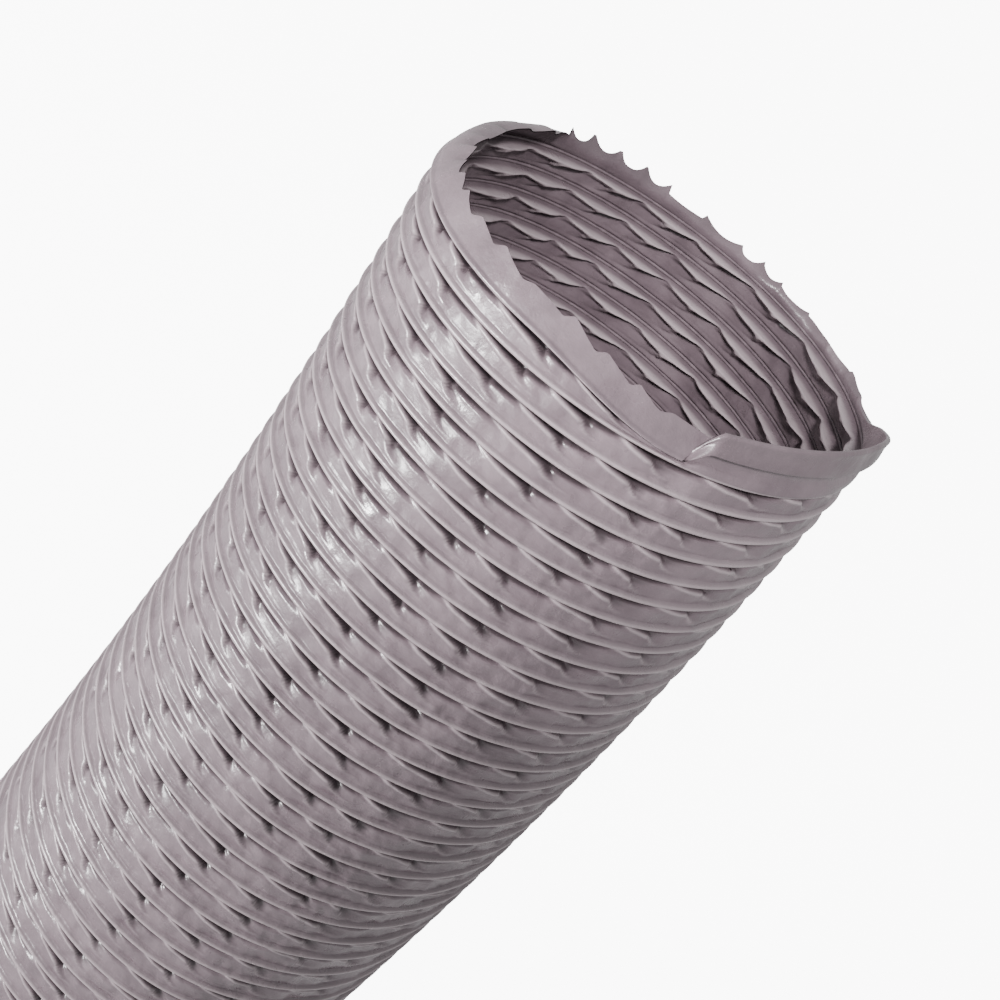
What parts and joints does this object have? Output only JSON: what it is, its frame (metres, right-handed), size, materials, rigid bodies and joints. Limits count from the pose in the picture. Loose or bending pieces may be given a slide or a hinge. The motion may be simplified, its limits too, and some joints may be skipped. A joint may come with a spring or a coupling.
{
  "type": "flexible air duct",
  "caption": "Round flexible air duct of grey vinyl-coated fabric on a spring-steel wire helix, which stretches, shortens and bends; cut ends slip over round collars.",
  "frame": {"origin": "centre of the bottom end, on the surface that the duct stands on", "axes": "+Z along the duct's axis, towards the open end; -Y is the side that faces the viewer"},
  "size_m": [0.2066, 0.2066, 0.4772],
  "materials": {
    "vinyl": "satin vinyl-coated fabric, warm grey",
    "spring_wire": "bright drawn spring steel"
  },
  "bodies": {
    "cuff": {"cuff_wall": "vinyl", "cuff_wire": "spring_wire"},
    "wire_01": {"wire_turn_01": "spring_wire"},
    "wall_01": {"wall_turn_01": "vinyl"},
    "wire_02": {"wire_turn_02": "spring_wire"},
    "wall_02": {"wall_turn_02": "vinyl"},
    "wire_03": {"wire_turn_03": "spring_wire"},
    "wall_03": {"wall_turn_03": "vinyl"},
    "wire_04": {"wire_turn_04": "spring_wire"},
    "wall_04": {"wall_turn_04": "vinyl"},
    "wire_05": {"wire_turn_05": "spring_wire"},
    "wall_05": {"wall_turn_05": "vinyl"},
    "wire_06": {"wire_turn_06": "spring_wire"},
    "wall_06": {"wall_turn_06": "vinyl"},
    "wire_07": {"wire_turn_07": "spring_wire"},
    "wall_07": {"wall_turn_07": "vinyl"},
    "wire_08": {"wire_turn_08": "spring_wire"},
    "wall_08": {"wall_turn_08": "vinyl"},
    "wire_09": {"wire_turn_09": "spring_wire"},
    "wall_09": {"wall_turn_09": "vinyl"},
    "wire_10": {"wire_turn_10": "spring_wire"},
    "wall_10": {"wall_turn_10": "vinyl"},
    "wire_11": {"wire_turn_11": "spring_wire"},
    "wall_11": {"wall_turn_11": "vinyl"},
    "wire_12": {"wire_turn_12": "spring_wire"},
    "wall_12": {"wall_turn_12": "vinyl"},
    "wire_13": {"wire_turn_13": "spring_wire"},
    "wall_13": {"wall_turn_13": "vinyl"},
    "wire_14": {"wire_turn_14": "spring_wire"},
    "wall_14": {"wall_turn_14": "vinyl"},
    "wire_15": {"wire_turn_15": "spring_wire"},
    "wall_15": {"wall_turn_15": "vinyl"},
    "wire_16": {"wire_turn_16": "spring_wire"},
    "wall_16": {"wall_turn_16": "vinyl"},
    "wire_17": {"wire_turn_17": "spring_wire"},
    "wall_17": {"wall_turn_17": "vinyl"},
    "wire_18": {"wire_turn_18": "spring_wire"},
    "wall_18": {"wall_turn_18": "vinyl"},
    "wire_19": {"wire_turn_19": "spring_wire"},
    "wall_19": {"wall_turn_19": "vinyl"},
    "wire_20": {"wire_turn_20": "spring_wire"},
    "wall_20": {"wall_turn_20": "vinyl"},
    "wire_21": {"wire_turn_21": "spring_wire"},
    "wall_21": {"wall_turn_21": "vinyl"},
    "wire_22": {"wire_turn_22": "spring_wire"},
    "wall_22": {"wall_turn_22": "vinyl"},
    "wire_23": {"wire_turn_23": "spring_wire"},
    "wall_23": {"wall_turn_23": "vinyl"},
    "wire_24": {"wire_turn_24": "spring_wire"},
    "wall_24": {"wall_turn_24": "vinyl"},
    "wire_25": {"wire_turn_25": "spring_wire"},
    "wall_25": {"wall_turn_25": "vinyl"},
    "wire_26": {"wire_turn_26": "spring_wire"},
    "wall_26": {"wall_turn_26": "vinyl"},
    "wire_27": {"wire_turn_27": "spring_wire"},
    "wall_27": {"wall_turn_27": "vinyl"},
    "wire_28": {"wire_turn_28": "spring_wire"},
    "open_end": {"end_flap": "vinyl", "end_wire_turn": "spring_wire"}
  },
  "joints": [
    {"name": "stretch_01", "type": "slide", "parent": "cuff", "child": "wire_01", "axis": [0, 0, 1], "range_m": [-0.0026, 0.004]},
    {"name": "bend_01", "type": "hinge", "parent": "wire_01", "child": "wall_01", "pos_m": [0, 0, 0.11356], "axis": [1, 0, 0], "range_deg": [-2.1, 2.1]},
    {"name": "stretch_02", "type": "slide", "parent": "wall_01", "child": "wire_02", "axis": [0, 0, 1], "range_m": [-0.0026, 0.004]},
    {"name": "bend_02", "type": "hinge", "parent": "wire_02", "child": "wall_02", "pos_m": [0, 0, 0.12704], "axis": [1, 0, 0], "range_deg": [-2.1, 2.1]},
    {"name": "stretch_03", "type": "slide", "parent": "wall_02", "child": "wire_03", "axis": [0, 0, 1], "range_m": [-0.0026, 0.004]},
    {"name": "bend_03", "type": "hinge", "parent": "wire_03", "child": "wall_03", "pos_m": [0, 0, 0.14044], "axis": [1, 0, 0], "range_deg": [-2.1, 2.1]},
    {"name": "stretch_04", "type": "slide", "parent": "wall_03", "child": "wire_04", "axis": [0, 0, 1], "range_m": [-0.0026, 0.004]},
    {"name": "bend_04", "type": "hinge", "parent": "wire_04", "child": "wall_04", "pos_m": [0, 0, 0.15376], "axis": [1, 0, 0], "range_deg": [-2.1, 2.1]},
    {"name": "stretch_05", "type": "slide", "parent": "wall_04", "child": "wire_05", "axis": [0, 0, 1], "range_m": [-0.0026, 0.004]},
    {"name": "bend_05", "type": "hinge", "parent": "wire_05", "child": "wall_05", "pos_m": [0, 0, 0.16701], "axis": [1, 0, 0], "range_deg": [-2.1, 2.1]},
    {"name": "stretch_06", "type": "slide", "parent": "wall_05", "child": "wire_06", "axis": [0, 0, 1], "range_m": [-0.0026, 0.004]},
    {"name": "bend_06", "type": "hinge", "parent": "wire_06", "child": "wall_06", "pos_m": [0, 0, 0.18017], "axis": [1, 0, 0], "range_deg": [-2.1, 2.1]},
    {"name": "stretch_07", "type": "slide", "parent": "wall_06", "child": "wire_07", "axis": [0, 0, 1], "range_m": [-0.0026, 0.004]},
    {"name": "bend_07", "type": "hinge", "parent": "wire_07", "child": "wall_07", "pos_m": [0, 0, 0.19326], "axis": [1, 0, 0], "range_deg": [-2.1, 2.1]},
    {"name": "stretch_08", "type": "slide", "parent": "wall_07", "child": "wire_08", "axis": [0, 0, 1], "range_m": [-0.0026, 0.004]},
    {"name": "bend_08", "type": "hinge", "parent": "wire_08", "child": "wall_08", "pos_m": [0, 0, 0.20627], "axis": [1, 0, 0], "range_deg": [-2.1, 2.1]},
    {"name": "stretch_09", "type": "slide", "parent": "wall_08", "child": "wire_09", "axis": [0, 0, 1], "range_m": [-0.0026, 0.004]},
    {"name": "bend_09", "type": "hinge", "parent": "wire_09", "child": "wall_09", "pos_m": [0, 0, 0.21921], "axis": [1, 0, 0], "range_deg": [-2.1, 2.1]},
    {"name": "stretch_10", "type": "slide", "parent": "wall_09", "child": "wire_10", "axis": [0, 0, 1], "range_m": [-0.0026, 0.004]},
    {"name": "bend_10", "type": "hinge", "parent": "wire_10", "child": "wall_10", "pos_m": [0, 0, 0.23206], "axis": [1, 0, 0], "range_deg": [-2.1, 2.1]},
    {"name": "stretch_11", "type": "slide", "parent": "wall_10", "child": "wire_11", "axis": [0, 0, 1], "range_m": [-0.0026, 0.004]},
    {"name": "bend_11", "type": "hinge", "parent": "wire_11", "child": "wall_11", "pos_m": [0, 0, 0.24484], "axis": [1, 0, 0], "range_deg": [-2.1, 2.1]},
    {"name": "stretch_12", "type": "slide", "parent": "wall_11", "child": "wire_12", "axis": [0, 0, 1], "range_m": [-0.0026, 0.004]},
    {"name": "bend_12", "type": "hinge", "parent": "wire_12", "child": "wall_12", "pos_m": [0, 0, 0.25754], "axis": [1, 0, 0], "range_deg": [-2.1, 2.1]},
    {"name": "stretch_13", "type": "slide", "parent": "wall_12", "child": "wire_13", "axis": [0, 0, 1], "range_m": [-0.0026, 0.004]},
    {"name": "bend_13", "type": "hinge", "parent": "wire_13", "child": "wall_13", "pos_m": [0, 0, 0.27016], "axis": [1, 0, 0], "range_deg": [-2.1, 2.1]},
    {"name": "stretch_14", "type": "slide", "parent": "wall_13", "child": "wire_14", "axis": [0, 0, 1], "range_m": [-0.0026, 0.004]},
    {"name": "bend_14", "type": "hinge", "parent": "wire_14", "child": "wall_14", "pos_m": [0, 0, 0.28271], "axis": [1, 0, 0], "range_deg": [-2.1, 2.1]},
    {"name": "stretch_15", "type": "slide", "parent": "wall_14", "child": "wire_15", "axis": [0, 0, 1], "range_m": [-0.0026, 0.004]},
    {"name": "bend_15", "type": "hinge", "parent": "wire_15", "child": "wall_15", "pos_m": [0, 0, 0.29517], "axis": [1, 0, 0], "range_deg": [-2.1, 2.1]},
    {"name": "stretch_16", "type": "slide", "parent": "wall_15", "child": "wire_16", "axis": [0, 0, 1], "range_m": [-0.0026, 0.004]},
    {"name": "bend_16", "type": "hinge", "parent": "wire_16", "child": "wall_16", "pos_m": [0, 0, 0.30756], "axis": [1, 0, 0], "range_deg": [-2.1, 2.1]},
    {"name": "stretch_17", "type": "slide", "parent": "wall_16", "child": "wire_17", "axis": [0, 0, 1], "range_m": [-0.0026, 0.004]},
    {"name": "bend_17", "type": "hinge", "parent": "wire_17", "child": "wall_17", "pos_m": [0, 0, 0.31987], "axis": [1, 0, 0], "range_deg": [-2.1, 2.1]},
    {"name": "stretch_18", "type": "slide", "parent": "wall_17", "child": "wire_18", "axis": [0, 0, 1], "range_m": [-0.0026, 0.004]},
    {"name": "bend_18", "type": "hinge", "parent": "wire_18", "child": "wall_18", "pos_m": [0, 0, 0.33211], "axis": [1, 0, 0], "range_deg": [-2.1, 2.1]},
    {"name": "stretch_19", "type": "slide", "parent": "wall_18", "child": "wire_19", "axis": [0, 0, 1], "range_m": [-0.0026, 0.004]},
    {"name": "bend_19", "type": "hinge", "parent": "wire_19", "child": "wall_19", "pos_m": [0, 0, 0.34426], "axis": [1, 0, 0], "range_deg": [-2.1, 2.1]},
    {"name": "stretch_20", "type": "slide", "parent": "wall_19", "child": "wire_20", "axis": [0, 0, 1], "range_m": [-0.0026, 0.004]},
    {"name": "bend_20", "type": "hinge", "parent": "wire_20", "child": "wall_20", "pos_m": [0, 0, 0.35634], "axis": [1, 0, 0], "range_deg": [-2.1, 2.1]},
    {"name": "stretch_21", "type": "slide", "parent": "wall_20", "child": "wire_21", "axis": [0, 0, 1], "range_m": [-0.0026, 0.004]},
    {"name": "bend_21", "type": "hinge", "parent": "wire_21", "child": "wall_21", "pos_m": [0, 0, 0.36834], "axis": [1, 0, 0], "range_deg": [-2.1, 2.1]},
    {"name": "stretch_22", "type": "slide", "parent": "wall_21", "child": "wire_22", "axis": [0, 0, 1], "range_m": [-0.0026, 0.004]},
    {"name": "bend_22", "type": "hinge", "parent": "wire_22", "child": "wall_22", "pos_m": [0, 0, 0.38026], "axis": [1, 0, 0], "range_deg": [-2.1, 2.1]},
    {"name": "stretch_23", "type": "slide", "parent": "wall_22", "child": "wire_23", "axis": [0, 0, 1], "range_m": [-0.0026, 0.004]},
    {"name": "bend_23", "type": "hinge", "parent": "wire_23", "child": "wall_23", "pos_m": [0, 0, 0.39211], "axis": [1, 0, 0], "range_deg": [-2.1, 2.1]},
    {"name": "stretch_24", "type": "slide", "parent": "wall_23", "child": "wire_24", "axis": [0, 0, 1], "range_m": [-0.0026, 0.004]},
    {"name": "bend_24", "type": "hinge", "parent": "wire_24", "child": "wall_24", "pos_m": [0, 0, 0.40387], "axis": [1, 0, 0], "range_deg": [-2.1, 2.1]},
    {"name": "stretch_25", "type": "slide", "parent": "wall_24", "child": "wire_25", "axis": [0, 0, 1], "range_m": [-0.0026, 0.004]},
    {"name": "bend_25", "type": "hinge", "parent": "wire_25", "child": "wall_25", "pos_m": [0, 0, 0.41556], "axis": [1, 0, 0], "range_deg": [-2.1, 2.1]},
    {"name": "stretch_26", "type": "slide", "parent": "wall_25", "child": "wire_26", "axis": [0, 0, 1], "range_m": [-0.0026, 0.004]},
    {"name": "bend_26", "type": "hinge", "parent": "wire_26", "child": "wall_26", "pos_m": [0, 0, 0.42717], "axis": [1, 0, 0], "range_deg": [-2.1, 2.1]},
    {"name": "stretch_27", "type": "slide", "parent": "wall_26", "child": "wire_27", "axis": [0, 0, 1], "range_m": [-0.0026, 0.004]},
    {"name": "bend_27", "type": "hinge", "parent": "wire_27", "child": "wall_27", "pos_m": [0, 0, 0.43871], "axis": [1, 0, 0], "range_deg": [-2.1, 2.1]},
    {"name": "stretch_28", "type": "slide", "parent": "wall_27", "child": "wire_28", "axis": [0, 0, 1], "range_m": [-0.0026, 0.004]},
    {"name": "bend_28", "type": "hinge", "parent": "wire_28", "child": "open_end", "pos_m": [0, 0, 0.45016], "axis": [1, 0, 0], "range_deg": [-2.1, 2.1]}
  ],
  "couplings": [
    {"joint": "stretch_02", "follows": "stretch_01", "ratio": 1},
    {"joint": "bend_02", "follows": "bend_01", "ratio": 1},
    {"joint": "stretch_03", "follows": "stretch_01", "ratio": 1},
    {"joint": "bend_03", "follows": "bend_01", "ratio": 1},
    {"joint": "stretch_04", "follows": "stretch_01", "ratio": 1},
    {"joint": "bend_04", "follows": "bend_01", "ratio": 1},
    {"joint": "stretch_05", "follows": "stretch_01", "ratio": 1},
    {"joint": "bend_05", "follows": "bend_01", "ratio": 1},
    {"joint": "stretch_06", "follows": "stretch_01", "ratio": 1},
    {"joint": "bend_06", "follows": "bend_01", "ratio": 1},
    {"joint": "stretch_07", "follows": "stretch_01", "ratio": 1},
    {"joint": "bend_07", "follows": "bend_01", "ratio": 1},
    {"joint": "stretch_08", "follows": "stretch_01", "ratio": 1},
    {"joint": "bend_08", "follows": "bend_01", "ratio": 1},
    {"joint": "stretch_09", "follows": "stretch_01", "ratio": 1},
    {"joint": "bend_09", "follows": "bend_01", "ratio": 1},
    {"joint": "stretch_10", "follows": "stretch_01", "ratio": 1},
    {"joint": "bend_10", "follows": "bend_01", "ratio": 1},
    {"joint": "stretch_11", "follows": "stretch_01", "ratio": 1},
    {"joint": "bend_11", "follows": "bend_01", "ratio": 1},
    {"joint": "stretch_12", "follows": "stretch_01", "ratio": 1},
    {"joint": "bend_12", "follows": "bend_01", "ratio": 1},
    {"joint": "stretch_13", "follows": "stretch_01", "ratio": 1},
    {"joint": "bend_13", "follows": "bend_01", "ratio": 1},
    {"joint": "stretch_14", "follows": "stretch_01", "ratio": 1},
    {"joint": "bend_14", "follows": "bend_01", "ratio": 1},
    {"joint": "stretch_15", "follows": "stretch_01", "ratio": 1},
    {"joint": "bend_15", "follows": "bend_01", "ratio": 1},
    {"joint": "stretch_16", "follows": "stretch_01", "ratio": 1},
    {"joint": "bend_16", "follows": "bend_01", "ratio": 1},
    {"joint": "stretch_17", "follows": "stretch_01", "ratio": 1},
    {"joint": "bend_17", "follows": "bend_01", "ratio": 1},
    {"joint": "stretch_18", "follows": "stretch_01", "ratio": 1},
    {"joint": "bend_18", "follows": "bend_01", "ratio": 1},
    {"joint": "stretch_19", "follows": "stretch_01", "ratio": 1},
    {"joint": "bend_19", "follows": "bend_01", "ratio": 1},
    {"joint": "stretch_20", "follows": "stretch_01", "ratio": 1},
    {"joint": "bend_20", "follows": "bend_01", "ratio": 1},
    {"joint": "stretch_21", "follows": "stretch_01", "ratio": 1},
    {"joint": "bend_21", "follows": "bend_01", "ratio": 1},
    {"joint": "stretch_22", "follows": "stretch_01", "ratio": 1},
    {"joint": "bend_22", "follows": "bend_01", "ratio": 1},
    {"joint": "stretch_23", "follows": "stretch_01", "ratio": 1},
    {"joint": "bend_23", "follows": "bend_01", "ratio": 1},
    {"joint": "stretch_24", "follows": "stretch_01", "ratio": 1},
    {"joint": "bend_24", "follows": "bend_01", "ratio": 1},
    {"joint": "stretch_25", "follows": "stretch_01", "ratio": 1},
    {"joint": "bend_25", "follows": "bend_01", "ratio": 1},
    {"joint": "stretch_26", "follows": "stretch_01", "ratio": 1},
    {"joint": "bend_26", "follows": "bend_01", "ratio": 1},
    {"joint": "stretch_27", "follows": "stretch_01", "ratio": 1},
    {"joint": "bend_27", "follows": "bend_01", "ratio": 1},
    {"joint": "stretch_28", "follows": "stretch_01", "ratio": 1},
    {"joint": "bend_28", "follows": "bend_01", "ratio": 1}
  ]
}
